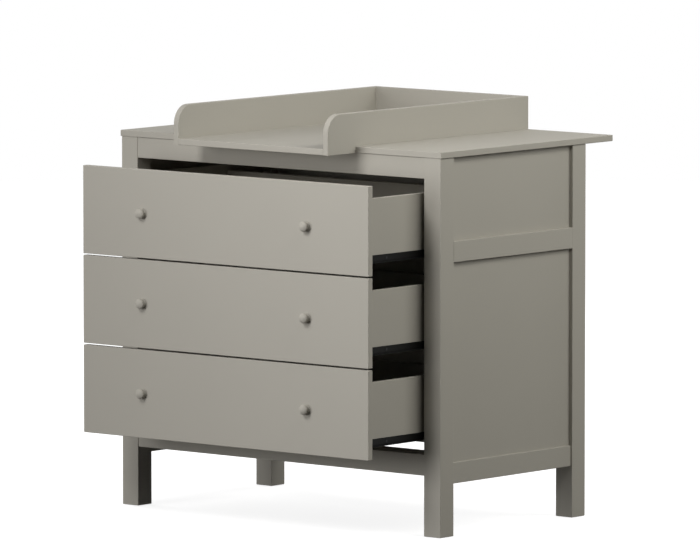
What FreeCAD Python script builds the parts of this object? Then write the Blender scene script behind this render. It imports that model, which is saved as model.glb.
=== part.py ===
import FreeCAD, Part
import math
import os

# Changing dresser: a post-and-rail chest with three inset drawers on roller runners,
# and a lift-off changing tray whose notched sides hook over the front edge of the top.
# Millimetres. +Z is up, the front faces -Y, +X is to the right seen from the front.
# The origin is on the floor, under the middle of the dresser's overall outline.

Vector = FreeCAD.Vector

# ---------------------------------------------------------------- driving dimensions

same_place = 1e-6                # two edges nearer than this lie in one place

# carcass
overall_height = 910.0
carcass_width = 994.0
carcass_depth = 546.0
post_size = 50.0
foot_glide_height = 1.5
board_thickness = 15.0           # top panel and tray boards
top_side_overhang = 3.0
top_front_overhang = 1.5
top_rear_overhang = 100.0
edge_ease = 1.5                  # rounding of every painted edge

# rails between the posts
rail_height = 50.0
front_upper_rail_depth = 45.0
front_lower_rail_depth = 74.0
front_rail_recess = 2.0
front_lower_rail_base = 145.0
rear_rail_depth = 25.0
rear_rail_recess = 10.0
side_rail_depth = 25.0
side_lower_rail_base = 125.0
side_lower_rail_recess = 4.5
side_middle_rail_base = 648.0

# panels let into grooves
side_panel_thickness = 12.0
side_panel_recess = 10.0
back_panel_thickness = 4.0
back_panel_setback = 22.0        # rear face of the posts to the back panel's rear face
groove_depth = 8.0
groove_end_play = 0.5
groove_side_play = 0.1

# drawers
drawer_names = ("bottom", "middle", "top")
drawer_gap = 4.0                 # between fronts, and between a front and a rail
drawer_side_gap = 3.0            # between a front and a post
drawer_front_thickness = 16.0
drawer_board_thickness = 12.0
drawer_box_length = 500.0
drawer_side_height = 150.0
drawer_side_lift = 31.0          # lower edge of the front to the lower edge of the sides
drawer_back_drop = 15.0          # upper edge of the sides to the upper edge of the back
drawer_bottom_thickness = 5.0
drawer_bottom_lift = 10.0
drawer_groove_depth = 5.0
shown_opening = 200.0            # how far each drawer stands open at rest

# roller runners
runner_gap = 12.5                # between a post and the drawer's side
runner_steel = 1.2
runner_leaf_height = 17.0        # up the outside of the drawer's side
runner_lip_width = 7.8           # running lip along the foot of the leaf
runner_tab_drop = 6.5            # rear roller's axle to the lower edge of its tab
runner_start = 18.0              # front of the posts to the front end of the fixed runner
channel_roof_width = 3.3
channel_floor_width = 7.8
channel_roof_clearance = 0.6     # roof of the channel to the lip that passes over it
channel_roof_gap = 1.5           # front roller to the start of the roof
roller_radius = 9.5
roller_width = 6.8
roller_inset = 14.0              # roller axle to the near end of its runner
roller_web_gap = 1.0             # web of the fixed runner to its roller
roller_edge_chamfer = 0.5
roller_recess_radius = 7.0       # shallow recess in each face of a roller
roller_recess_depth = 0.6
axle_radius = 2.0
axle_head_radius = 3.5           # riveted end that keeps the roller on, sunk in its recess
axle_head_height = 0.5
axle_collar_radius = 3.5
axle_collar_clearance = 0.2
axle_running_clearance = 0.05
running_clearance = 0.3

# knobs
knob_radius = 12.4
knob_base_radius = 12.0
knob_neck_radius = 9.2
knob_projection = 18.5
knob_neck_height = 5.5
knob_base_height = 1.5
knob_head_height = 9.5
knob_rim_height = 1.0
knob_shoulder_round = 5.0        # from the rim into the crown
knob_spacing = 510.0
knob_rise = 1.0                  # middle of the drawer front up to the knob's axis

# changing tray
tray_width = 480.0
tray_length = 750.0
tray_height = 80.0               # above the dresser's top
tray_corner_radius = 45.0
tray_seat_clearance = 0.5        # to the front edge of the top

# fasteners
rail_dowel_radius = 4.0
rail_dowel_length = 30.0
rail_dowel_spacing = 20.0
drawer_dowel_radius = 3.0
drawer_dowel_length = 24.0
drawer_dowel_bite = 8.0          # length held in the drawer's front or side
drawer_dowel_heights = (37.0, 99.0)          # above the lower edge of the sides
tray_dowel_shares = (0.25, 0.75)             # along the height or depth of a tray joint
fastener_play = 0.1
top_screw_radius = 2.25
top_screw_head_radius = 4.5
top_screw_head_height = 3.0
top_screw_pocket_radius = 5.5
top_screw_pocket_depth = 20.0
top_screw_bite = 10.0
top_screw_spacing = 350.0
rear_top_screw_offset = 6.0      # rear face of the rear rail to the screw
runner_screw_radius = 1.75
runner_screw_length = 14.0
runner_screw_head_radius = 3.5
runner_screw_head_height = 0.9
runner_screw_front = 46.0        # front of the posts to the first screw
runner_screw_rear = 12.0         # rear end of the fixed runner to the last screw
leaf_screw_radius = 1.5
leaf_screw_length = 10.0
leaf_screw_head_radius = 3.0
leaf_screw_head_height = 0.8
leaf_screw_inset = 60.0
knob_screw_radius = 2.0
knob_screw_bite = 10.0
knob_screw_head_radius = 4.0
knob_screw_head_height = 2.5
glide_radius = 10.0
glide_round = 0.5
glide_pin_radius = 1.5
glide_pin_length = 15.0

# ---------------------------------------------------------------- derived places

carcass_front = -(carcass_depth + top_rear_overhang - shown_opening - knob_projection) / 2
carcass_rear = carcass_front + carcass_depth
half_width = carcass_width / 2
half_opening = half_width - post_size        # centre line to the inner face of a post
top_underside = overall_height - board_thickness
front_upper_rail_base = top_underside - rail_height
front_lower_rail_top = front_lower_rail_base + rail_height
front_rail_front = carcass_front + front_rail_recess
front_fixing_y = front_rail_front + front_upper_rail_depth / 2
rear_rail_rear = carcass_rear - rear_rail_recess
rear_rail_front = rear_rail_rear - rear_rail_depth
back_panel_rear = carcass_rear - back_panel_setback
back_panel_front = back_panel_rear - back_panel_thickness

opening_height = front_upper_rail_base - front_lower_rail_top
drawer_count = len(drawer_names)
drawer_front_height = (opening_height - (drawer_count + 1) * drawer_gap) / drawer_count
drawer_front_half = half_opening - drawer_side_gap
drawer_outer_half = half_opening - runner_gap
drawer_inner_half = drawer_outer_half - drawer_board_thickness
drawer_front_face = carcass_front - shown_opening
box_front = drawer_front_face + drawer_front_thickness
box_rear = box_front + drawer_box_length
back_front_face = box_rear - drawer_board_thickness

tray_rear = carcass_rear + top_rear_overhang
tray_front = tray_rear - tray_length
tray_half = tray_width / 2
tray_top = overall_height + tray_height
top_front = carcass_front - top_front_overhang
tray_seat = top_front - tray_seat_clearance

# Heights in a runner are counted from the lower edge of the drawer's side, and up.
# The lip rolls on the post's front roller, and the drawer's rear roller runs in the channel.
lip_underside = -runner_steel
fixed_axle_height = lip_underside - running_clearance - roller_radius
channel_top = lip_underside - channel_roof_clearance
channel_roof = channel_top - runner_steel
moving_axle_height = channel_roof - running_clearance - roller_radius
channel_floor = moving_axle_height - roller_radius - running_clearance


def drawer_base(level):
    """Height of the lower edge of a drawer front, level 0 being the lowest drawer."""
    return front_lower_rail_top + drawer_gap + level * (drawer_front_height + drawer_gap)


def side_base(level):
    """Height of the lower edge of a drawer's side boards."""
    return drawer_base(level) + drawer_side_lift


# ---------------------------------------------------------------- shape helpers

def block(x_span, y_span, z_span):
    """A plain box from three (low, high) spans given in any order."""
    low = Vector(min(x_span), min(y_span), min(z_span))
    size = Vector(max(x_span), max(y_span), max(z_span)) - low
    return Part.makeBox(size.x, size.y, size.z, low)


def runs_along(edge, axis):
    """True when a straight edge lies along the axis 0, 1 or 2."""
    ends = edge.Vertexes
    step = ends[1].Point - ends[0].Point
    return abs(abs(step[axis]) - step.Length) < same_place


def board(x_span, y_span, z_span, along=None):
    """A board with eased edges: all of them, or only those that run along one axis."""
    solid = block(x_span, y_span, z_span)
    edges = [edge for edge in solid.Edges if along is None or runs_along(edge, along)]
    return solid.makeFillet(edge_ease, edges)


def rod(radius, length, start, direction):
    """A round rod from a start point."""
    return Part.makeCylinder(radius, length, Vector(*start), Vector(*direction))


def cut_all(solid, tools):
    """The solid with every tool that reaches it cut away."""
    reaching = [tool for tool in tools if tool.BoundBox.intersect(solid.BoundBox)]
    return solid.cut(reaching).removeSplitter() if reaching else solid


def mirrored(shape):
    """The left-hand twin of a right-hand shape, or the other way round."""
    return shape.mirror(Vector(0, 0, 0), Vector(1, 0, 0))


def save(node, *solids):
    """Write one node, as one solid or as a group of separate ones."""
    shape = solids[0] if len(solids) == 1 else Part.makeCompound(list(solids))
    shape.exportStep(os.path.join("parts", node + ".step"))


# ---------------------------------------------------------------- fasteners of the carcass

def rail_dowels():
    """Two dowels in each end of each rail, half in the rail and half in the post."""
    pairs = []
    rear_y = rear_rail_front + rear_rail_depth / 2
    for base in (front_lower_rail_base, front_upper_rail_base):
        for y in (front_fixing_y, rear_y):
            start = (half_opening - rail_dowel_length / 2, y, base + rail_height / 2)
            pairs.append((start, (1, 0, 0)))
    middle_x = half_width - side_rail_depth / 2
    lower_x = middle_x - side_lower_rail_recess
    for x, base in ((middle_x, side_middle_rail_base), (lower_x, side_lower_rail_base)):
        for joint_y in (carcass_front + post_size, carcass_rear - post_size):
            start = (x, joint_y - rail_dowel_length / 2, base + rail_height / 2)
            pairs.append((start, (0, 1, 0)))
    return pairs


def dowel_rods(play):
    """The carcass dowels, or with some play their holes, on both sides."""
    rods = []
    for (x, y, z), direction in rail_dowels():
        for shift in (-rail_dowel_spacing / 2, rail_dowel_spacing / 2):
            start = (x, y, z + shift)
            rods.append(rod(rail_dowel_radius + play, rail_dowel_length, start, direction))
    return rods + [mirrored(one) for one in rods]


def top_screw_places():
    """Where the screws go up through the upper rails into the top."""
    rows = (front_fixing_y, rear_rail_rear - rear_top_screw_offset)
    return [(column * top_screw_spacing, y) for y in rows for column in (-1, 0, 1)]


def top_screw(x, y, play):
    """A screw with its head in a pocket of the rail's underside."""
    seat = front_upper_rail_base + top_screw_pocket_depth
    length = top_underside + top_screw_bite - seat
    shank = rod(top_screw_radius + play, length, (x, y, seat), (0, 0, 1))
    head_start = (x, y, seat - top_screw_head_height)
    head = rod(top_screw_head_radius, top_screw_head_height, head_start, (0, 0, 1))
    return shank.fuse(head).removeSplitter()


def top_screw_pocket(x, y):
    """The pocket that takes a top screw's head."""
    start = (x, y, front_upper_rail_base)
    return rod(top_screw_pocket_radius, top_screw_pocket_depth, start, (0, 0, 1))


def runner_screw_places():
    """Front-to-back and up-and-down places of the screws of the fixed runners."""
    rear_y = carcass_front + runner_start + drawer_box_length - runner_screw_rear
    columns = (carcass_front + runner_screw_front, rear_y)
    return [(y, side_base(level) + moving_axle_height)
            for level in range(drawer_count) for y in columns]


def runner_screw(y, z, play):
    """A flat-headed screw through a fixed runner's web into a post, on the right."""
    face = half_opening - runner_steel
    shank = rod(runner_screw_radius + play, runner_screw_length, (face, y, z), (1, 0, 0))
    head_start = (face - runner_screw_head_height, y, z)
    head = rod(runner_screw_head_radius, runner_screw_head_height, head_start, (1, 0, 0))
    return shank.fuse(head).removeSplitter()


def glide(x, y):
    """A plastic nail-in glide under a post."""
    pad = rod(glide_radius, foot_glide_height, (x, y, 0), (0, 0, 1))
    pad = pad.makeFillet(glide_round, pad.Edges[0])
    pin_start = (x, y, foot_glide_height)
    return pad.fuse(rod(glide_pin_radius, glide_pin_length, pin_start, (0, 0, 1)))


def post_centres():
    """Centres of the four posts with their names."""
    inset = half_width - post_size / 2
    return {
        "front_left": (-inset, carcass_front + post_size / 2),
        "front_right": (inset, carcass_front + post_size / 2),
        "rear_left": (-inset, carcass_rear - post_size / 2),
        "rear_right": (inset, carcass_rear - post_size / 2),
    }


# ---------------------------------------------------------------- carcass

def side_panels():
    """The right side's panels, (name, bottom, top): the lower and the upper one."""
    lower = (side_lower_rail_base + rail_height, side_middle_rail_base)
    upper = (side_middle_rail_base + rail_height, top_underside)
    return (("lower", *lower), ("upper", *upper))


def side_panel_block(bottom, top, edge_play, face_play):
    """A side panel let into its grooves, or with no play the space of the grooves."""
    grip = groove_depth - edge_play
    outer = half_width - side_panel_recess
    inner = outer - side_panel_thickness
    reach = (carcass_front + post_size - grip, carcass_rear - post_size + grip)
    high = top if top == top_underside else top + grip
    return block((inner - face_play, outer + face_play), reach, (bottom - grip, high))


def back_panel_block(edge_play, face_play):
    """The back panel let into its grooves, or with no play the space of the grooves."""
    grip = groove_depth - edge_play
    across = half_opening + grip
    thickness = (back_panel_front - face_play, back_panel_rear + face_play)
    heights = (front_lower_rail_top - grip, front_upper_rail_base + grip)
    return block((-across, across), thickness, heights)


def carcass_cuts():
    """Every groove and hole of the carcass."""
    cuts = dowel_rods(fastener_play)
    for x, y in top_screw_places():
        cuts.append(top_screw(x, y, fastener_play))
        cuts.append(top_screw_pocket(x, y))
    for y, z in runner_screw_places():
        screw = runner_screw(y, z, fastener_play)
        cuts += [screw, mirrored(screw)]
    for _, bottom, top in side_panels():
        groove = side_panel_block(bottom, top, 0, groove_side_play)
        cuts += [groove, mirrored(groove)]
    cuts.append(back_panel_block(0, groove_side_play))
    for x, y in post_centres().values():
        pin_start = (x, y, foot_glide_height)
        cuts.append(rod(glide_pin_radius + fastener_play, glide_pin_length, pin_start, (0, 0, 1)))
    return cuts


def build_carcass():
    """Posts, rails, panels and the top, with their fasteners."""
    cuts = carcass_cuts()

    for name, (x, y) in post_centres().items():
        half = post_size / 2
        post = board((x - half, x + half), (y - half, y + half), (foot_glide_height, top_underside))
        save("post_" + name, cut_all(post, cuts))

    cross = (-half_opening, half_opening)
    cross_rails = (
        ("front_rail_lower", front_rail_front, front_lower_rail_depth, front_lower_rail_base),
        ("front_rail_upper", front_rail_front, front_upper_rail_depth, front_upper_rail_base),
        ("rear_rail_lower", rear_rail_front, rear_rail_depth, front_lower_rail_base),
        ("rear_rail_upper", rear_rail_front, rear_rail_depth, front_upper_rail_base),
    )
    for name, front, depth, base in cross_rails:
        rail = board(cross, (front, front + depth), (base, base + rail_height), along=0)
        save(name, cut_all(rail, cuts))

    between = (carcass_front + post_size, carcass_rear - post_size)
    side_rails = (
        ("middle", side_middle_rail_base, 0),
        ("lower", side_lower_rail_base, side_lower_rail_recess),
    )
    for name, base, recess in side_rails:
        outer = half_width - recess
        rail = board((outer - side_rail_depth, outer), between, (base, base + rail_height), along=1)
        rail = cut_all(rail, cuts)
        save("side_rail_" + name + "_right", rail)
        save("side_rail_" + name + "_left", mirrored(rail))

    for name, bottom, top in side_panels():
        panel = side_panel_block(bottom, top, groove_end_play, 0)
        save("side_panel_" + name + "_right", panel)
        save("side_panel_" + name + "_left", mirrored(panel))
    save("back_panel", back_panel_block(groove_end_play, 0))

    top_half = half_width + top_side_overhang
    top = board((-top_half, top_half), (top_front, tray_rear), (top_underside, overall_height))
    save("top_panel", cut_all(top, cuts))

    save("rail_dowels", *dowel_rods(0))
    save("top_screws", *[top_screw(x, y, 0) for x, y in top_screw_places()])
    screws = [runner_screw(y, z, 0) for y, z in runner_screw_places()]
    save("runner_screws", *(screws + [mirrored(screw) for screw in screws]))
    save("foot_glides", *[glide(x, y) for x, y in post_centres().values()])


# ---------------------------------------------------------------- roller runners

def from_post(distance):
    """The X place of a point on the right, at a distance from the post's inner face."""
    return half_opening - distance


def fixed_axle(level):
    """Centre of the roller on a fixed runner, in front-to-back and up-and-down places."""
    return (carcass_front + runner_start + roller_inset, side_base(level) + fixed_axle_height)


def moving_axle(level):
    """Centre of the roller at the rear end of a drawer's runner."""
    return (box_rear - roller_inset, side_base(level) + moving_axle_height)


def axle(gap, place, way):
    """An axle with its collar and riveted end, from a runner's face across a gap."""
    x, y, z = place
    collar_length = gap + roller_recess_depth - axle_collar_clearance
    collar = rod(axle_collar_radius, collar_length, place, (way, 0, 0))
    pin = rod(axle_radius, gap + roller_width, place, (way, 0, 0))
    head_start = (x + way * (gap + roller_width - axle_head_height), y, z)
    head = rod(axle_head_radius, axle_head_height, head_start, (way, 0, 0))
    return pin.fuse([collar, head]).removeSplitter()


def fixed_runner(level):
    """The right-hand channel on the posts, with the axle of its front roller."""
    base = side_base(level)
    start = carcass_front + runner_start
    end = start + drawer_box_length
    floor_top = base + channel_floor
    floor_base = floor_top - runner_steel
    roof_top = base + channel_top
    web = block((from_post(0), from_post(runner_steel)), (start, end), (floor_base, roof_top))
    floor_edge = from_post(runner_steel + channel_floor_width)
    floor = block((from_post(0), floor_edge), (start, end), (floor_base, floor_top))
    roof_start = start + roller_inset + roller_radius + channel_roof_gap
    roof_edge = from_post(runner_steel + channel_roof_width)
    roof = block((from_post(0), roof_edge), (roof_start, end), (base + channel_roof, roof_top))
    place = (from_post(runner_steel), *fixed_axle(level))
    runner = web.fuse([floor, roof, axle(roller_web_gap, place, -1)]).removeSplitter()
    screws = [runner_screw(*place, fastener_play) for place in runner_screw_places()]
    return cut_all(runner, screws)


def moving_runner(level):
    """The right-hand runner on the drawer, with its running lip and its rear roller's axle."""
    base = side_base(level)
    length = (box_front, box_rear)
    foot = (base - runner_steel, base)
    inner = from_post(runner_gap)
    leaf_face = from_post(runner_gap - runner_steel)
    leaf = block((inner, leaf_face), length, (base - runner_steel, base + runner_leaf_height))
    shelf = block((inner, from_post(runner_gap + drawer_board_thickness)), length, foot)
    lip = block((inner, from_post(runner_gap - runner_steel - runner_lip_width)), length, foot)
    tab_base = base + moving_axle_height - runner_tab_drop
    tab = block((inner, leaf_face), (box_rear - 2 * roller_inset, box_rear), (tab_base, base))
    gap = runner_gap - runner_steel - moving_roller_start() - roller_width
    place = (leaf_face, *moving_axle(level))
    runner = leaf.fuse([shelf, lip, tab, axle(gap, place, 1)]).removeSplitter()
    return cut_all(runner, leaf_screws(level, fastener_play))


def fixed_roller_start():
    """Distance from the post to the near face of the fixed runner's roller."""
    return runner_steel + roller_web_gap


def moving_roller_start():
    """Distance from the post to the near face of the drawer's roller."""
    return fixed_roller_start() + running_clearance


def roller(start, y, z):
    """A nylon roller with a bore and a shallow recess in each face, on the right."""
    near = from_post(start)
    far = near - roller_width
    wheel = rod(roller_radius, roller_width, (near, y, z), (-1, 0, 0))
    rims = [edge for edge in wheel.Edges if edge.Curve.TypeId == "Part::GeomCircle"]
    wheel = wheel.makeChamfer(roller_edge_chamfer, rims)
    near_recess = rod(roller_recess_radius, roller_recess_depth, (near, y, z), (-1, 0, 0))
    far_recess = rod(roller_recess_radius, roller_recess_depth, (far, y, z), (1, 0, 0))
    bore = rod(axle_radius + axle_running_clearance, roller_width, (near, y, z), (-1, 0, 0))
    return wheel.cut([near_recess, far_recess, bore])


def build_runners(level, name):
    """Both runners and both pairs of rollers of one drawer."""
    fixed = fixed_runner(level)
    save("cabinet_runners_" + name, mirrored(fixed), fixed)
    wheel = roller(fixed_roller_start(), *fixed_axle(level))
    save("cabinet_rollers_" + name, mirrored(wheel), wheel)
    moving = moving_runner(level)
    save("drawer_" + name + "_runners", mirrored(moving), moving)
    wheel = roller(moving_roller_start(), *moving_axle(level))
    save("drawer_" + name + "_rollers", mirrored(wheel), wheel)


# ---------------------------------------------------------------- drawers

def leaf_screws(level, play):
    """The flat screws that hold a drawer's right runner to its side."""
    face = from_post(runner_gap - runner_steel)
    z = side_base(level) + runner_leaf_height / 2
    screws = []
    for y in (box_front + leaf_screw_inset, box_rear - leaf_screw_inset):
        shank = rod(leaf_screw_radius + play, leaf_screw_length, (face, y, z), (-1, 0, 0))
        head = rod(leaf_screw_head_radius, leaf_screw_head_height, (face, y, z), (1, 0, 0))
        screws.append(shank.fuse(head).removeSplitter())
    return screws


def drawer_dowels(level, play):
    """The dowels of a drawer's right-hand corners: two at the front, two at the back."""
    side_middle = drawer_outer_half - drawer_board_thickness / 2
    back_middle = box_rear - drawer_board_thickness / 2
    rods = []
    for height in drawer_dowel_heights:
        z = side_base(level) + height
        front_start = (side_middle, box_front - drawer_dowel_bite, z)
        back_start = (drawer_inner_half + drawer_dowel_bite, back_middle, z)
        for start, direction in ((front_start, (0, 1, 0)), (back_start, (-1, 0, 0))):
            rods.append(rod(drawer_dowel_radius + play, drawer_dowel_length, start, direction))
    return rods


def knob_screw(x, z, play):
    """A screw through the drawer front into a knob, its head inside the drawer."""
    length = drawer_front_thickness + knob_screw_bite
    shank = rod(knob_screw_radius + play, length, (x, box_front, z), (0, -1, 0))
    head = rod(knob_screw_head_radius, knob_screw_head_height, (x, box_front, z), (0, 1, 0))
    return shank.fuse(head).removeSplitter()


def knob(x, z):
    """A turned knob: flared base, waisted neck and a mushroom head with a domed crown."""
    waist_start = Vector(knob_base_radius, 0, knob_base_height)
    waist_end = Vector(knob_radius, 0, knob_head_height)
    waist_middle = Vector(knob_neck_radius, 0, knob_neck_height)
    shoulder = Vector(knob_radius, 0, knob_head_height + knob_rim_height)
    tip = Vector(0, 0, knob_projection)
    # The shoulder's arc runs smoothly into the crown's, whose centre is on the axis.
    inset = knob_radius - knob_shoulder_round
    depth = knob_projection - knob_shoulder_round
    crown_centre = (depth ** 2 - inset ** 2 - shoulder.z ** 2) / (2 * (depth - shoulder.z))
    crown_radius = knob_projection - crown_centre
    turn = math.atan2(inset, shoulder.z - crown_centre)

    def on_crown(angle):
        rise = crown_centre + crown_radius * math.cos(angle)
        return Vector(crown_radius * math.sin(angle), 0, rise)

    half_turn = (math.pi / 2 + turn) / 2
    on_shoulder = Vector(math.sin(half_turn), 0, math.cos(half_turn)) * knob_shoulder_round
    shoulder_middle = Vector(inset, 0, shoulder.z) + on_shoulder
    base = Vector(0, 0, 0)
    rim = Vector(knob_base_radius, 0, 0)
    outline = [
        Part.makeLine(base, rim),
        Part.makeLine(rim, waist_start),
        Part.Arc(waist_start, waist_middle, waist_end).toShape(),
        Part.makeLine(waist_end, shoulder),
        Part.Arc(shoulder, shoulder_middle, on_crown(turn)).toShape(),
        Part.Arc(on_crown(turn), on_crown(turn / 2), tip).toShape(),
        Part.makeLine(tip, base),
    ]
    turned = Part.Face(Part.Wire(outline)).revolve(Vector(0, 0, 0), Vector(0, 0, 1), 360)
    turned.rotate(Vector(0, 0, 0), Vector(1, 0, 0), 90)
    turned.translate(Vector(x, drawer_front_face, z))
    return turned


def drawer_bottom_block(level, edge_play, face_play):
    """A drawer's bottom panel in its grooves, or with no play the space of the grooves."""
    grip = drawer_groove_depth - edge_play
    across = drawer_inner_half + grip
    depth = (box_front - grip, back_front_face + grip)
    low = side_base(level) + drawer_bottom_lift
    heights = (low - face_play, low + drawer_bottom_thickness + face_play)
    return block((-across, across), depth, heights)


def build_drawer(level, name):
    """One drawer with its front, box, knobs and fixings."""
    base = drawer_base(level)
    low = side_base(level)
    prefix = "drawer_" + name + "_"
    knob_height = base + drawer_front_height / 2 + knob_rise
    knob_places = [(side * knob_spacing / 2, knob_height) for side in (-1, 1)]

    groove = drawer_bottom_block(level, 0, groove_side_play)
    cuts = [groove]
    for x, z in knob_places:
        cuts.append(knob_screw(x, z, fastener_play))
    for tool in drawer_dowels(level, fastener_play) + leaf_screws(level, fastener_play):
        cuts += [tool, mirrored(tool)]

    across = (-drawer_front_half, drawer_front_half)
    front = board(across, (drawer_front_face, box_front), (base, base + drawer_front_height))
    save(prefix + "front", cut_all(front, cuts))

    box_length = (box_front, box_rear)
    side_heights = (low, low + drawer_side_height)
    side = board((drawer_inner_half, drawer_outer_half), box_length, side_heights, along=1)
    side = cut_all(side, cuts)
    save(prefix + "side_right", side)
    save(prefix + "side_left", mirrored(side))

    between_sides = (-drawer_inner_half, drawer_inner_half)
    back_heights = (low, low + drawer_side_height - drawer_back_drop)
    back = board(between_sides, (back_front_face, box_rear), back_heights, along=0)
    save(prefix + "back", cut_all(back, cuts))
    save(prefix + "bottom", drawer_bottom_block(level, groove_end_play, 0))

    knobs = [knob(x, z).cut(knob_screw(x, z, fastener_play)) for x, z in knob_places]
    save(prefix + "knobs", *knobs)
    fixings = [knob_screw(x, z, 0) for x, z in knob_places]
    for tool in drawer_dowels(level, 0) + leaf_screws(level, 0):
        fixings += [tool, mirrored(tool)]
    save(prefix + "fixings", *fixings)


# ---------------------------------------------------------------- changing tray

def tray_dowels(play):
    """The dowels that join the tray's right side to its back and to its front shelf."""
    inner = tray_half - board_thickness
    start_x = inner + board_thickness / 2
    places = []
    back_y = tray_rear - board_thickness / 2
    for share in tray_dowel_shares:
        places.append((back_y, overall_height + share * tray_height))
        shelf_y = tray_front + share * (tray_seat - tray_front)
        places.append((shelf_y, overall_height - board_thickness / 2))
    return [rod(drawer_dowel_radius + play, drawer_dowel_length, (start_x, y, z), (-1, 0, 0))
            for y, z in places]


def tray_side():
    """The tray's right side: rounded at its front, and notched over the top's edge."""
    shelf_base = overall_height - board_thickness
    inner = tray_half - board_thickness
    radius = min(tray_corner_radius, tray_height)
    corner_y = tray_front + radius
    corner_z = tray_top - radius
    slant = radius * math.sqrt(0.5)

    def at(y, z):
        return Vector(inner, y, z)

    arc_start = at(tray_front, corner_z)
    arc_middle = at(corner_y - slant, corner_z + slant)
    arc_end = at(corner_y, tray_top)
    outline = [
        Part.makeLine(at(tray_seat, shelf_base), at(tray_front, shelf_base)),
        Part.makeLine(at(tray_front, shelf_base), at(tray_front, corner_z)),
        Part.Arc(arc_start, arc_middle, arc_end).toShape(),
        Part.makeLine(at(corner_y, tray_top), at(tray_rear, tray_top)),
        Part.makeLine(at(tray_rear, tray_top), at(tray_rear, overall_height)),
        Part.makeLine(at(tray_rear, overall_height), at(tray_seat, overall_height)),
        Part.makeLine(at(tray_seat, overall_height), at(tray_seat, shelf_base)),
    ]
    solid = Part.Face(Part.Wire(outline)).extrude(Vector(board_thickness, 0, 0))
    return solid.makeFillet(edge_ease, [edge for edge in solid.Edges if on_tray_rim(edge)])


def on_tray_rim(edge):
    """True for the long edges of the tray side's rim: its front, rounding and top."""
    box = edge.BoundBox
    if box.XLength > same_place:
        return False
    along_top = box.ZMax > tray_top - same_place and box.YLength > edge_ease
    up_front = abs(box.YMax - tray_front) < same_place
    return along_top or up_front


def build_tray():
    """The lift-off changing tray."""
    holes = tray_dowels(fastener_play)
    holes += [mirrored(hole) for hole in holes]
    side = cut_all(tray_side(), holes)
    save("tray_side_right", side)
    save("tray_side_left", mirrored(side))

    inner = tray_half - board_thickness
    across = (-inner, inner)
    back_span = (tray_rear - board_thickness, tray_rear)
    back = board(across, back_span, (overall_height, tray_top), along=0)
    save("tray_back", cut_all(back, holes))
    shelf_heights = (overall_height - board_thickness, overall_height)
    shelf = board(across, (tray_front, tray_seat), shelf_heights, along=0)
    save("tray_front_shelf", cut_all(shelf, holes))
    dowels = tray_dowels(0)
    save("tray_dowels", *(dowels + [mirrored(dowel) for dowel in dowels]))


def main():
    os.makedirs("parts", exist_ok=True)
    build_carcass()
    for level, name in enumerate(drawer_names):
        build_runners(level, name)
        build_drawer(level, name)
    build_tray()


main()
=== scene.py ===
"""Finish, knobs and studio of a changing dresser, set on its CAD frame.

Metres. +Z is up, the drawers face -Y, +X is to the right seen from the front.
"""
import math

import bpy
from mathutils import Matrix, Vector


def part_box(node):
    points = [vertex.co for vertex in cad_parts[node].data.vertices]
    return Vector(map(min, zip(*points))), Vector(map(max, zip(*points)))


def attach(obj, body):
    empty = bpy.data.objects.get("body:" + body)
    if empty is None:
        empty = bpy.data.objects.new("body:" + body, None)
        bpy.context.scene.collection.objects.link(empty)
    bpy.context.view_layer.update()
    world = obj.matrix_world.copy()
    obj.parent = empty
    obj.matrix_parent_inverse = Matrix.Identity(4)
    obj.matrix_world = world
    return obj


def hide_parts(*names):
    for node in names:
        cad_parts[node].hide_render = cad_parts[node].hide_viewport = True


bl_info = {
    "name": "Changing Dresser Finishes",
    "version": (1, 0, 0),
    "blender": (4, 5, 0),
    "location": "View3D > Sidebar > Dresser",
    "description": "Lacquers the boards, coats the runners, turns the knobs and sets up the studio",
    "category": "Object",
}

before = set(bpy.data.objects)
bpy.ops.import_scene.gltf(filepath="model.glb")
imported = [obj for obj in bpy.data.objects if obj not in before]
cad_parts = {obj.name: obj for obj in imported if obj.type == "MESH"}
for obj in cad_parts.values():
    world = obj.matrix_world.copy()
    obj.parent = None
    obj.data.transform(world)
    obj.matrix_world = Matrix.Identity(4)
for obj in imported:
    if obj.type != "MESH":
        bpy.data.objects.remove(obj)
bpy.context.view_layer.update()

MM = 0.001
DRAWERS = ("bottom", "middle", "top")
SIDES = ("left", "right")
LACQUER_IOR = 1.5
ROUGHNESS_SPREAD = 0.03
WHITE = (1, 1, 1, 1)


def hex_colour(code):
    """Linear red, green and blue of an sRGB hex value."""
    channels = [int(code[i:i + 2], 16) / 255 for i in (0, 2, 4)]
    return tuple(c / 12.92 if c <= 0.04045 else ((c + 0.055) / 1.055) ** 2.4 for c in channels)


# ---------------------------------------------------------------- settings

def length(name, description, default):
    """A length that a user would change, given in millimetres."""
    return bpy.props.FloatProperty(
        name=name, description=description, default=default * MM, min=0, unit="LENGTH", precision=4)


def colour(name, description, code):
    """A colour that a user would change, given as an sRGB hex value."""
    return bpy.props.FloatVectorProperty(
        name=name, description=description, default=hex_colour(code), size=3, min=0, max=1,
        subtype="COLOR")


def amount(name, description, default):
    """A plain number that a user would change."""
    return bpy.props.FloatProperty(name=name, description=description, default=default, min=0)


def angle(name, description, degrees):
    """An angle that a user would change, given in degrees."""
    return bpy.props.FloatProperty(
        name=name, description=description, default=math.radians(degrees), subtype="ANGLE")


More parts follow.
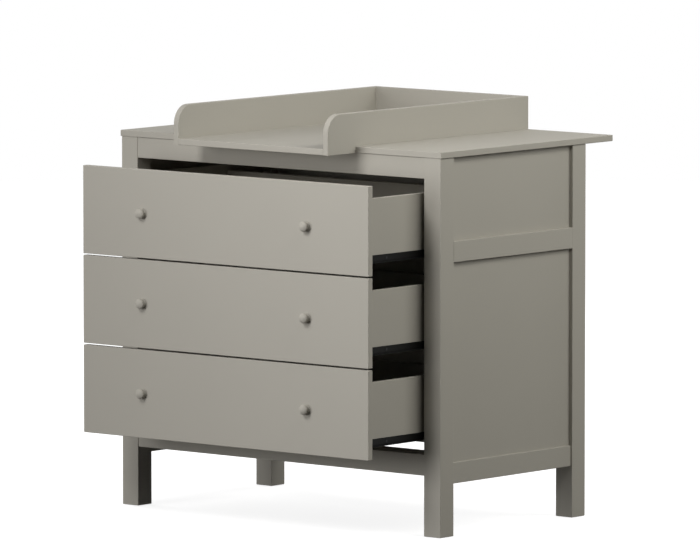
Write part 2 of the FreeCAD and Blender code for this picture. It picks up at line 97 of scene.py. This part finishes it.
class DresserFinish(bpy.types.PropertyGroup):
    lacquer: colour("Lacquer", "Satin lacquer on every board, post and knob", "A9A59C")
    lacquer_roughness: amount("Lacquer roughness", "Roughness of the dull satin lacquer", 0.62)
    lacquer_sheen: amount("Lacquer sheen", "Specular level, low for a dull lacquer", 0.12)
    runner_coat: colour("Runner coat", "Black epoxy coat on the steel runners", "0F0F0E")
    nylon: colour("Nylon", "Moulded black nylon of the rollers", "131313")
    zinc: colour("Zinc", "Bright zinc plating of the screws under the top", "C4C6C4")
    black_coat: colour("Black coat", "Black coat on the screws of the runners and knobs", "1A1A1B")
    beech: colour("Beech", "Raw steamed beech of the dowels", "CDAA7D")
    glide: colour("Glide", "Moulded grey polyethylene under the legs", "5C5A56")
    peel_size: length("Orange peel", "Width of a ripple in the sprayed lacquer", 6.0)
    grain_width: length("Grain width", "Width of a wood pore line under the lacquer", 2.5)
    grain_length: length("Grain length", "Length of a wood pore line under the lacquer", 90.0)
    shade_patch: length("Shade patch", "Width of a faint lighter or darker patch", 160.0)


class KnobShape(bpy.types.PropertyGroup):
    base_radius: length("Base radius", "Radius of the flared base on the drawer front", 12.0)
    base_height: length("Base height", "Height of the straight rim of the base", 1.5)
    neck_radius: length("Neck radius", "Radius of the waist", 9.2)
    head_start: length("Head start", "Height at which the head reaches its full radius", 9.5)
    rim_height: length("Rim height", "Height of the straight rim of the head", 1.0)
    shoulder_round: length("Shoulder rounding", "Radius from the rim into the domed crown", 5.0)


class StudioStage(bpy.types.PropertyGroup):
    floor_radius: length("Floor radius", "Radius of the round floor", 9000.0)
    floor_glow: amount("Floor glow", "Glow that turns the lit floor white to the camera", 0.82)
    glow_start: length("Glow start", "Distance at which the floor begins to turn white", 800.0)
    glow_end: length("Glow end", "Distance from which the floor is fully white", 2500.0)
    floor_colour: colour("Floor", "The floor as the camera sees it", "C4C4C4")
    floor_bounce: colour("Floor bounce", "The floor as it lights the dresser from below", "3C3B39")
    sky: amount("Sky", "Strength of the soft light from all round", 0.045)
    key_power: amount("Key", "Power of the small softbox above the front, in watts", 71.0)
    front_power: amount("Front", "Power of the low, wide front softbox, in watts", 198.0)
    side_power: amount("Side", "Power of the high softbox on the right, in watts", 40.0)
    corner_power: amount("Corner", "Power of the wide softbox at the rear right, in watts", 73.0)
    left_power: amount("Left", "Power of the softbox on the left, in watts", 55.0)
    back_power: amount("Back", "Power of the softbox behind, in watts", 95.0)
    side_tint: colour("Side tint", "Colour of the two softboxes on the right side", "FFFFFA")
    camera_turn: angle("Camera turn", "Turn of the view to the right of the front", 39.99)
    camera_drop: angle("Camera drop", "How far the view looks down", 5.768)
    camera_distance: length("Camera distance", "Camera to the middle of the dresser", 20500.0)
    camera_lens: bpy.props.FloatProperty(
        name="Lens", description="Focal length in millimetres on a 36 mm sensor", default=443.81)


# ---------------------------------------------------------------- nodes

def new_material(name):
    """An empty node material."""
    material = bpy.data.materials.new(name)
    material.use_nodes = True
    material.node_tree.nodes.clear()
    return material


def add_node(tree, kind, inputs=None, **settings):
    """Add a node with its settings, and set or link its inputs by name or number."""
    node = tree.nodes.new(kind)
    for name, value in settings.items():
        setattr(node, name, value)
    for socket, value in (inputs or {}).items():
        if isinstance(value, bpy.types.NodeSocket):
            tree.links.new(value, node.inputs[socket])
        else:
            node.inputs[socket].default_value = value
    return node


def scaled_noise(tree, place, sizes, detail=2.0):
    """Noise whose blotches have the given sizes along X, Y and Z."""
    scale = tuple(1 / size for size in sizes)
    mapping = add_node(tree, "ShaderNodeMapping", {"Vector": place, "Scale": scale})
    noise = add_node(tree, "ShaderNodeTexNoise", {
        "Vector": mapping.outputs["Vector"], "Scale": 1.0, "Detail": detail})
    return noise.outputs["Fac"]


def object_place(tree):
    """Object coordinates, in metres in the dresser's frame."""
    return add_node(tree, "ShaderNodeTexCoord").outputs["Object"]


def shade(tree, factor, base, spread):
    """The base colour, darker or lighter by a share as the factor runs from 0 to 1."""
    dark = tuple(c * (1 - spread) for c in base) + (1,)
    light = tuple(min(1, c * (1 + spread)) for c in base) + (1,)
    mix = add_node(tree, "ShaderNodeMix", {"Factor": factor, 6: dark, 7: light}, data_type="RGBA")
    return mix.outputs[2]


def bump(tree, height, depth, strength=1.0, under=None):
    """A bump of a real depth, over another bump where one is given."""
    inputs = {"Height": height, "Distance": depth, "Strength": strength}
    if under is not None:
        inputs["Normal"] = under
    return add_node(tree, "ShaderNodeBump", inputs).outputs["Normal"]


def finish_surface(material, **inputs):
    """A Principled surface as the material's output."""
    tree = material.node_tree
    named = {name.replace("_", " "): value for name, value in inputs.items()}
    surface = add_node(tree, "ShaderNodeBsdfPrincipled", named)
    add_node(tree, "ShaderNodeOutputMaterial", {"Surface": surface.outputs["BSDF"]})
    return material


# ---------------------------------------------------------------- materials

def satin_lacquer(name, finish, grain=None):
    """Sprayed satin lacquer, over fibreboard or over solid wood whose grain runs along an axis.

    It gives an even, low sheen with a faint ripple, and over wood a hint of the pore lines.
    """
    material = new_material(name)
    tree = material.node_tree
    place = object_place(tree)
    patches = scaled_noise(tree, place, [finish.shade_patch] * 3)
    ripple = scaled_noise(tree, place, [finish.peel_size] * 3, detail=1.0)
    normal = bump(tree, ripple, 0.03 * MM)
    if grain is not None:
        widths = [finish.grain_width] * 3
        widths[grain] = finish.grain_length
        pores = scaled_noise(tree, place, widths, detail=3.0)
        normal = bump(tree, pores, 0.06 * MM, under=normal)
    roughness = add_node(tree, "ShaderNodeMapRange", {
        "Value": patches, "To Min": finish.lacquer_roughness - ROUGHNESS_SPREAD,
        "To Max": finish.lacquer_roughness + ROUGHNESS_SPREAD})
    return finish_surface(
        material, Base_Color=shade(tree, patches, finish.lacquer, 0.02),
        Roughness=roughness.outputs["Result"], IOR=LACQUER_IOR,
        Specular_IOR_Level=finish.lacquer_sheen, Normal=normal)


def lacquered_hardboard(finish):
    """Thin hardboard with the same lacquer: duller, with the faint felt of its fibres."""
    material = new_material("lacquered_hardboard")
    tree = material.node_tree
    place = object_place(tree)
    fibres = scaled_noise(tree, place, [3 * MM] * 3, detail=4.0)
    return finish_surface(
        material, Base_Color=shade(tree, fibres, finish.lacquer, 0.03), Roughness=0.7,
        IOR=LACQUER_IOR, Specular_IOR_Level=finish.lacquer_sheen,
        Normal=bump(tree, fibres, 0.04 * MM))


def epoxy_coated_steel(finish):
    """Black epoxy powder coat on roll-formed steel: half gloss with a fine pebble."""
    material = new_material("epoxy_coated_steel")
    tree = material.node_tree
    place = object_place(tree)
    pebble = scaled_noise(tree, place, [1.2 * MM] * 3)
    return finish_surface(
        material, Base_Color=shade(tree, pebble, finish.runner_coat, 0.15), Roughness=0.5, IOR=1.5,
        Specular_IOR_Level=0.08, Normal=bump(tree, pebble, 0.02 * MM))


def black_coated_steel(finish):
    """Thin black coat on small screws: smooth, with a low sheen."""
    material = new_material("black_coated_steel")
    tree = material.node_tree
    cloud = scaled_noise(tree, object_place(tree), [1.5 * MM] * 3)
    roughness = add_node(tree, "ShaderNodeMapRange", {"Value": cloud, "To Min": 0.5, "To Max": 0.6})
    return finish_surface(
        material, Base_Color=shade(tree, cloud, finish.black_coat, 0.1),
        Roughness=roughness.outputs["Result"], IOR=1.5, Specular_IOR_Level=0.2)


def moulded_plastic(name, base, roughness):
    """Moulded nylon or polyethylene: even, with the faint flow marks of the mould."""
    material = new_material(name)
    tree = material.node_tree
    flow = scaled_noise(tree, object_place(tree), [4 * MM] * 3)
    return finish_surface(
        material, Base_Color=shade(tree, flow, base, 0.06), Roughness=roughness, IOR=1.53,
        Normal=bump(tree, flow, 0.01 * MM))


def zinc_plated_steel(finish):
    """Bright zinc plating: a metal with a slightly cloudy shine."""
    material = new_material("zinc_plated_steel")
    tree = material.node_tree
    cloud = scaled_noise(tree, object_place(tree), [1.5 * MM] * 3, detail=3.0)
    roughness = add_node(tree, "ShaderNodeMapRange", {
        "Value": cloud, "To Min": 0.24, "To Max": 0.42})
    return finish_surface(
        material, Base_Color=shade(tree, cloud, finish.zinc, 0.06), Metallic=1.0,
        Roughness=roughness.outputs["Result"])


def raw_beech(finish):
    """Raw turned beech: pinkish brown with short darker flecks."""
    material = new_material("raw_beech")
    tree = material.node_tree
    flecks = scaled_noise(tree, object_place(tree), (4 * MM, 4 * MM, 0.6 * MM), detail=4.0)
    return finish_surface(
        material, Base_Color=shade(tree, flecks, finish.beech, 0.18), Roughness=0.65, IOR=1.5,
        Normal=bump(tree, flecks, 0.03 * MM))


def cover(nodes, material):
    """Give CAD nodes one material."""
    for name in nodes:
        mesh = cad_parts[name].data
        mesh.materials.clear()
        mesh.materials.append(material)


# ---------------------------------------------------------------- modelling helpers

def deselect():
    """Leave edit mode and select nothing."""
    if bpy.context.object is not None and bpy.context.object.mode != "OBJECT":
        bpy.ops.object.mode_set(mode="OBJECT")
    bpy.ops.object.select_all(action="DESELECT")


def turned_solid(name, rings, segments):
    """A turned solid about +Z from (height, radius) rings, as on a lathe."""
    deselect()
    (base_height, base_radius), *others = rings
    first_height, first_radius = others[0]
    bpy.ops.mesh.primitive_cylinder_add(
        vertices=segments, radius=base_radius, depth=first_height - base_height,
        location=(0, 0, (base_height + first_height) / 2))
    solid = bpy.context.object
    solid.name = name
    bpy.ops.object.transform_apply(location=True)
    bpy.ops.object.mode_set(mode="EDIT")
    bpy.ops.mesh.select_all(action="DESELECT")
    bpy.ops.object.mode_set(mode="OBJECT")
    for face in solid.data.polygons:
        face.select = face.normal.z > 0.5
    bpy.ops.object.mode_set(mode="EDIT")
    bpy.ops.mesh.select_mode(type="FACE")
    bpy.ops.transform.resize(value=(first_radius / base_radius, first_radius / base_radius, 1))
    height, radius = first_height, first_radius
    for next_height, next_radius in others[1:]:
        rise = (0, 0, next_height - height)
        bpy.ops.mesh.extrude_region_move(TRANSFORM_OT_translate={"value": rise})
        bpy.ops.transform.resize(value=(next_radius / radius, next_radius / radius, 1))
        height, radius = next_height, next_radius
    bpy.ops.object.mode_set(mode="OBJECT")
    return solid


def placed_copy(pattern, name, matrix):
    """A copy with its own mesh, its place in the mesh and its object at the origin."""
    mesh = pattern.data.copy()
    mesh.transform(matrix)
    copy = bpy.data.objects.new(name, mesh)
    bpy.context.scene.collection.objects.link(copy)
    return copy


def remove(pattern):
    """Delete a pattern piece once its copies are made."""
    bpy.data.objects.remove(pattern, do_unlink=True)


# ---------------------------------------------------------------- pieces

class LacquerCarcass(bpy.types.Operator):
    """Lacquer the top, posts, rails and panels of the carcass"""
    bl_idname = "dresser.lacquer_carcass"
    bl_label = "Lacquer Carcass"

    def execute(self, context):
        finish = context.scene.dresser_finish
        ends, levels = ("front", "rear"), ("lower", "upper")
        posts = [f"post_{end}_{side}" for end in ends for side in SIDES]
        cross_rails = [f"{end}_rail_{level}" for end in ends for level in levels]
        heights = ("lower", "middle")
        side_rails = [f"side_rail_{height}_{side}" for height in heights for side in SIDES]
        panels = [f"side_panel_{level}_{side}" for level in levels for side in SIDES]
        cover(posts, satin_lacquer("satin_lacquer_on_posts", finish, grain=2))
        cover(cross_rails, satin_lacquer("satin_lacquer_on_cross_rails", finish, grain=0))
        cover(side_rails, satin_lacquer("satin_lacquer_on_side_rails", finish, grain=1))
        cover(panels + ["top_panel"], satin_lacquer("satin_lacquer_on_fibreboard", finish))
        cover(["back_panel"], lacquered_hardboard(finish))
        return {"FINISHED"}


class LacquerDrawers(bpy.types.Operator):
    """Lacquer the fronts, sides, backs and bottoms of the drawers"""
    bl_idname = "dresser.lacquer_drawers"
    bl_label = "Lacquer Drawers"

    def execute(self, context):
        board = bpy.data.materials["satin_lacquer_on_fibreboard"]
        hardboard = bpy.data.materials["lacquered_hardboard"]
        for name in DRAWERS:
            parts = ("front", "side_left", "side_right", "back")
            cover([f"drawer_{name}_{part}" for part in parts], board)
            cover([f"drawer_{name}_bottom"], hardboard)
        return {"FINISHED"}


class LacquerTray(bpy.types.Operator):
    """Lacquer the boards of the changing tray"""
    bl_idname = "dresser.lacquer_tray"
    bl_label = "Lacquer Tray"

    def execute(self, context):
        boards = ["tray_side_left", "tray_side_right", "tray_back", "tray_front_shelf"]
        cover(boards, bpy.data.materials["satin_lacquer_on_fibreboard"])
        return {"FINISHED"}


class CoatRunners(bpy.types.Operator):
    """Coat the steel runners and mould the nylon rollers"""
    bl_idname = "dresser.coat_runners"
    bl_label = "Coat Runners"

    def execute(self, context):
        finish = context.scene.dresser_finish
        steel = epoxy_coated_steel(finish)
        nylon = moulded_plastic("moulded_nylon", finish.nylon, 0.45)
        for name in DRAWERS:
            cover([f"cabinet_runners_{name}", f"drawer_{name}_runners"], steel)
            cover([f"cabinet_rollers_{name}", f"drawer_{name}_rollers"], nylon)
        return {"FINISHED"}


class FinishFixings(bpy.types.Operator):
    """Finish the screws, dowels and glides"""
    bl_idname = "dresser.finish_fixings"
    bl_label = "Finish Fixings"

    def execute(self, context):
        finish = context.scene.dresser_finish
        fixings = [f"drawer_{name}_fixings" for name in DRAWERS]
        cover(fixings + ["runner_screws"], black_coated_steel(finish))
        cover(["top_screws"], zinc_plated_steel(finish))
        cover(["rail_dowels", "tray_dowels"], raw_beech(finish))
        cover(["foot_glides"], moulded_plastic("moulded_polyethylene", finish.glide, 0.5))
        return {"FINISHED"}


class TurnKnobs(bpy.types.Operator):
    """Turn a knob and set two on each drawer front"""
    bl_idname = "dresser.turn_knobs"
    bl_label = "Turn Knobs"

    segments = 64
    arc_steps = 8

    def rings(self, shape, radius, projection):
        """The knob's outline from its base to its crown, as (height, radius) rings."""
        rings = [(0, shape.base_radius), (shape.base_height, shape.base_radius)]
        # The waist is a gentle curve from the base's rim through the neck to the head.
        middle = (shape.base_height + shape.head_start) / 2
        half = (shape.head_start - shape.base_height) / 2
        for step in range(1, self.arc_steps):
            height = shape.base_height + 2 * half * step / self.arc_steps
            blend = (height - shape.base_height) / (2 * half)
            straight = shape.base_radius + (radius - shape.base_radius) * blend
            at_neck = (shape.base_radius + radius) / 2 - shape.neck_radius
            rings.append((height, straight - at_neck * (1 - ((height - middle) / half) ** 2)))
        rings.append((shape.head_start, radius))
        # The shoulder's arc runs smoothly into the crown, a piece of a sphere centred on the axis.
        shoulder = shape.head_start + shape.rim_height
        inset = radius - shape.shoulder_round
        depth = projection - shape.shoulder_round
        centre = (depth ** 2 - inset ** 2 - shoulder ** 2) / (2 * (depth - shoulder))
        sphere = projection - centre
        crown_turn = math.atan2(inset, shoulder - centre)
        for step in range(self.arc_steps + 1):
            lean = (math.pi / 2 - crown_turn) * step / self.arc_steps
            rings.append((shoulder + shape.shoulder_round * math.sin(lean),
                          inset + shape.shoulder_round * math.cos(lean)))
        for step in range(1, self.arc_steps):
            turn = crown_turn * (1 - step / self.arc_steps)
            rings.append((centre + sphere * math.cos(turn), sphere * math.sin(turn)))
        return rings

    def execute(self, context):
        shape = context.scene.dresser_knob
        low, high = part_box("drawer_top_knobs")
        radius = (high.z - low.z) / 2
        projection = high.y - low.y
        pattern = turned_solid("knob_pattern", self.rings(shape, radius, projection), self.segments)
        bpy.ops.object.shade_smooth_by_angle(angle=math.radians(40))
        pattern.data.materials.append(satin_lacquer("satin_lacquer_on_turned_wood",
                                                    context.scene.dresser_finish, grain=1))
        facing_front = Matrix.Rotation(math.pi / 2, 4, "X")
        for name in DRAWERS:
            node = f"drawer_{name}_knobs"
            low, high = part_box(node)
            for side, x in zip(SIDES, (low.x + radius, high.x - radius)):
                seat = Matrix.Translation((x, high.y, (low.z + high.z) / 2))
                knob = placed_copy(pattern, f"knob_{name}_{side}", seat @ facing_front)
                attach(knob, f"drawer_{name}")
                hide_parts(node)
        remove(pattern)
        return {"FINISHED"}


# ---------------------------------------------------------------- stage

def seen_by_camera(tree):
    """1 for rays from the camera, mirrors and glass, else 0."""
    path = add_node(tree, "ShaderNodeLightPath")
    glossy = add_node(tree, "ShaderNodeMath", {
        0: path.outputs["Is Camera Ray"], 1: path.outputs["Is Glossy Ray"]}, operation="MAXIMUM")
    seen = add_node(tree, "ShaderNodeMath", {
        0: glossy.outputs[0], 1: path.outputs["Is Transmission Ray"]}, operation="MAXIMUM")
    return seen.outputs[0]


def floor_material(stage):
    """A pale floor that turns white where it is lit, and keeps the dresser's shadow.

    Its glow rises to full white away from the dresser, so it meets the white behind it unseen.
    """
    material = new_material("studio_floor")
    tree = material.node_tree
    reach = add_node(tree, "ShaderNodeVectorMath", {0: object_place(tree)}, operation="LENGTH")
    glow_strength = add_node(tree, "ShaderNodeMapRange", {
        "Value": reach.outputs["Value"],
        "From Min": stage.glow_start, "From Max": stage.glow_end,
        "To Min": stage.floor_glow, "To Max": 1.0}).outputs["Result"]
    bounce = add_node(tree, "ShaderNodeBsdfDiffuse", {"Color": (*stage.floor_bounce, 1)})
    paper = add_node(tree, "ShaderNodeBsdfDiffuse", {"Color": (*stage.floor_colour, 1)})
    glow = add_node(tree, "ShaderNodeEmission", {"Color": WHITE, "Strength": glow_strength})
    lit = add_node(tree, "ShaderNodeAddShader", {0: paper.outputs[0], 1: glow.outputs[0]})
    seen = add_node(tree, "ShaderNodeMixShader", {
        "Fac": seen_by_camera(tree), 1: bounce.outputs[0], 2: lit.outputs[0]})
    add_node(tree, "ShaderNodeOutputMaterial", {"Surface": seen.outputs[0]})
    return material


def studio_sky(world, stage):
    """A little soft light from all round, and plain white where it is seen."""
    world.use_nodes = True
    tree = world.node_tree
    tree.nodes.clear()
    light = add_node(tree, "ShaderNodeBackground", {"Color": WHITE, "Strength": stage.sky})
    white = add_node(tree, "ShaderNodeBackground", {"Color": WHITE, "Strength": 1.0})
    mix = add_node(tree, "ShaderNodeMixShader", {
        "Fac": seen_by_camera(tree), 1: light.outputs[0], 2: white.outputs[0]})
    add_node(tree, "ShaderNodeOutputWorld", {"Surface": mix.outputs[0]})


def direction(turn, rise):
    """The way from the dresser to a point turned to the right of the front, and raised."""
    level = math.cos(rise)
    return Vector((math.sin(turn) * level, -math.cos(turn) * level, math.sin(rise)))


def aim(thing, back):
    """Turn a lamp or camera, which looks along its own -Z, towards where it came from."""
    thing.rotation_euler = (-back).to_track_quat("-Z", "Y").to_euler()


def add_softbox(name, place, size, power, tint, target, feather):
    """A square soft lamp of a tint at a (turn, rise, distance) from the target.

    It points past the target by the feather, so the target lies in its paler edge.
    """
    turn, rise, distance = place
    lamp = bpy.data.lights.new(name, "AREA")
    lamp.shape = "SQUARE"
    lamp.size = size
    lamp.energy = power
    lamp.color = tint
    holder = bpy.data.objects.new(name, lamp)
    bpy.context.scene.collection.objects.link(holder)
    holder.location = target + direction(math.radians(turn), math.radians(rise)) * distance
    aim(holder, holder.location - (target + Vector(feather)))


class SetStage(bpy.types.Operator):
    """Set up the floor, the soft light and the camera"""
    bl_idname = "dresser.set_stage"
    bl_label = "Set Stage"

    view_target = Vector((0.133, -0.109, 0.579))
    # name, (turn right of the front, rise, distance), size, feather
    softboxes = (
        ("key", (-3, 36, 3.0), 1.2, (3.5, 0, 1.0)),
        ("front", (-15, 5, 6.0), 3.0, (4.0, 0, 0)),
        ("side", (80, 50, 3.0), 1.2, (0, 0, 2.5)),
        ("corner", (110, 30, 4.0), 2.5, (0, 0, 0)),
        ("left", (-100, 15, 4.0), 2.5, (0, 0, 0)),
        ("back", (180, 15, 5.0), 2.5, (0, 0, 0)),
    )
    tinted = ("side", "corner")

    def execute(self, context):
        scene = context.scene
        stage = scene.dresser_stage
        deselect()
        bpy.ops.mesh.primitive_circle_add(vertices=96, radius=stage.floor_radius, fill_type="NGON")
        floor = context.object
        floor.name = "studio_floor"
        floor.data.materials.append(floor_material(stage))

        scene.world = bpy.data.worlds.new("studio_sky")
        studio_sky(scene.world, stage)
        for name, place, size, feather in self.softboxes:
            power = getattr(stage, name + "_power")
            tint = stage.side_tint if name in self.tinted else (1, 1, 1)
            add_softbox(name + "_softbox", place, size, power, tint, self.view_target, feather)

        camera = bpy.data.cameras.new("camera")
        camera.lens = stage.camera_lens
        camera.clip_end = 100.0
        holder = bpy.data.objects.new("camera", camera)
        scene.collection.objects.link(holder)
        back = direction(stage.camera_turn, stage.camera_drop)
        holder.location = self.view_target + back * stage.camera_distance
        aim(holder, back)
        scene.camera = holder
        scene.view_settings.view_transform = "Standard"
        return {"FINISHED"}


# ---------------------------------------------------------------- add-on

class DresserPanel(bpy.types.Panel):
    bl_idname = "VIEW3D_PT_dresser"
    bl_label = "Changing Dresser"
    bl_space_type = "VIEW_3D"
    bl_region_type = "UI"
    bl_category = "Dresser"

    def draw(self, context):
        layout = self.layout
        for operator in OPERATORS:
            layout.operator(operator.bl_idname)
        scene = context.scene
        for group in (scene.dresser_finish, scene.dresser_knob, scene.dresser_stage):
            box = layout.box()
            for name in group.__annotations__:
                box.prop(group, name)


OPERATORS = (
    LacquerCarcass, LacquerDrawers, LacquerTray, CoatRunners, FinishFixings, TurnKnobs, SetStage)
CLASSES = (DresserFinish, KnobShape, StudioStage, *OPERATORS, DresserPanel)


def register():
    for each in CLASSES:
        bpy.utils.register_class(each)
    bpy.types.Scene.dresser_finish = bpy.props.PointerProperty(type=DresserFinish)
    bpy.types.Scene.dresser_knob = bpy.props.PointerProperty(type=KnobShape)
    bpy.types.Scene.dresser_stage = bpy.props.PointerProperty(type=StudioStage)


def unregister():
    del bpy.types.Scene.dresser_stage
    del bpy.types.Scene.dresser_knob
    del bpy.types.Scene.dresser_finish
    for each in reversed(CLASSES):
        bpy.utils.unregister_class(each)


def main():
    register()
    for operator in OPERATORS:
        group, name = operator.bl_idname.split(".")
        getattr(getattr(bpy.ops, group), name)()


if __name__ == "__main__":
    main()
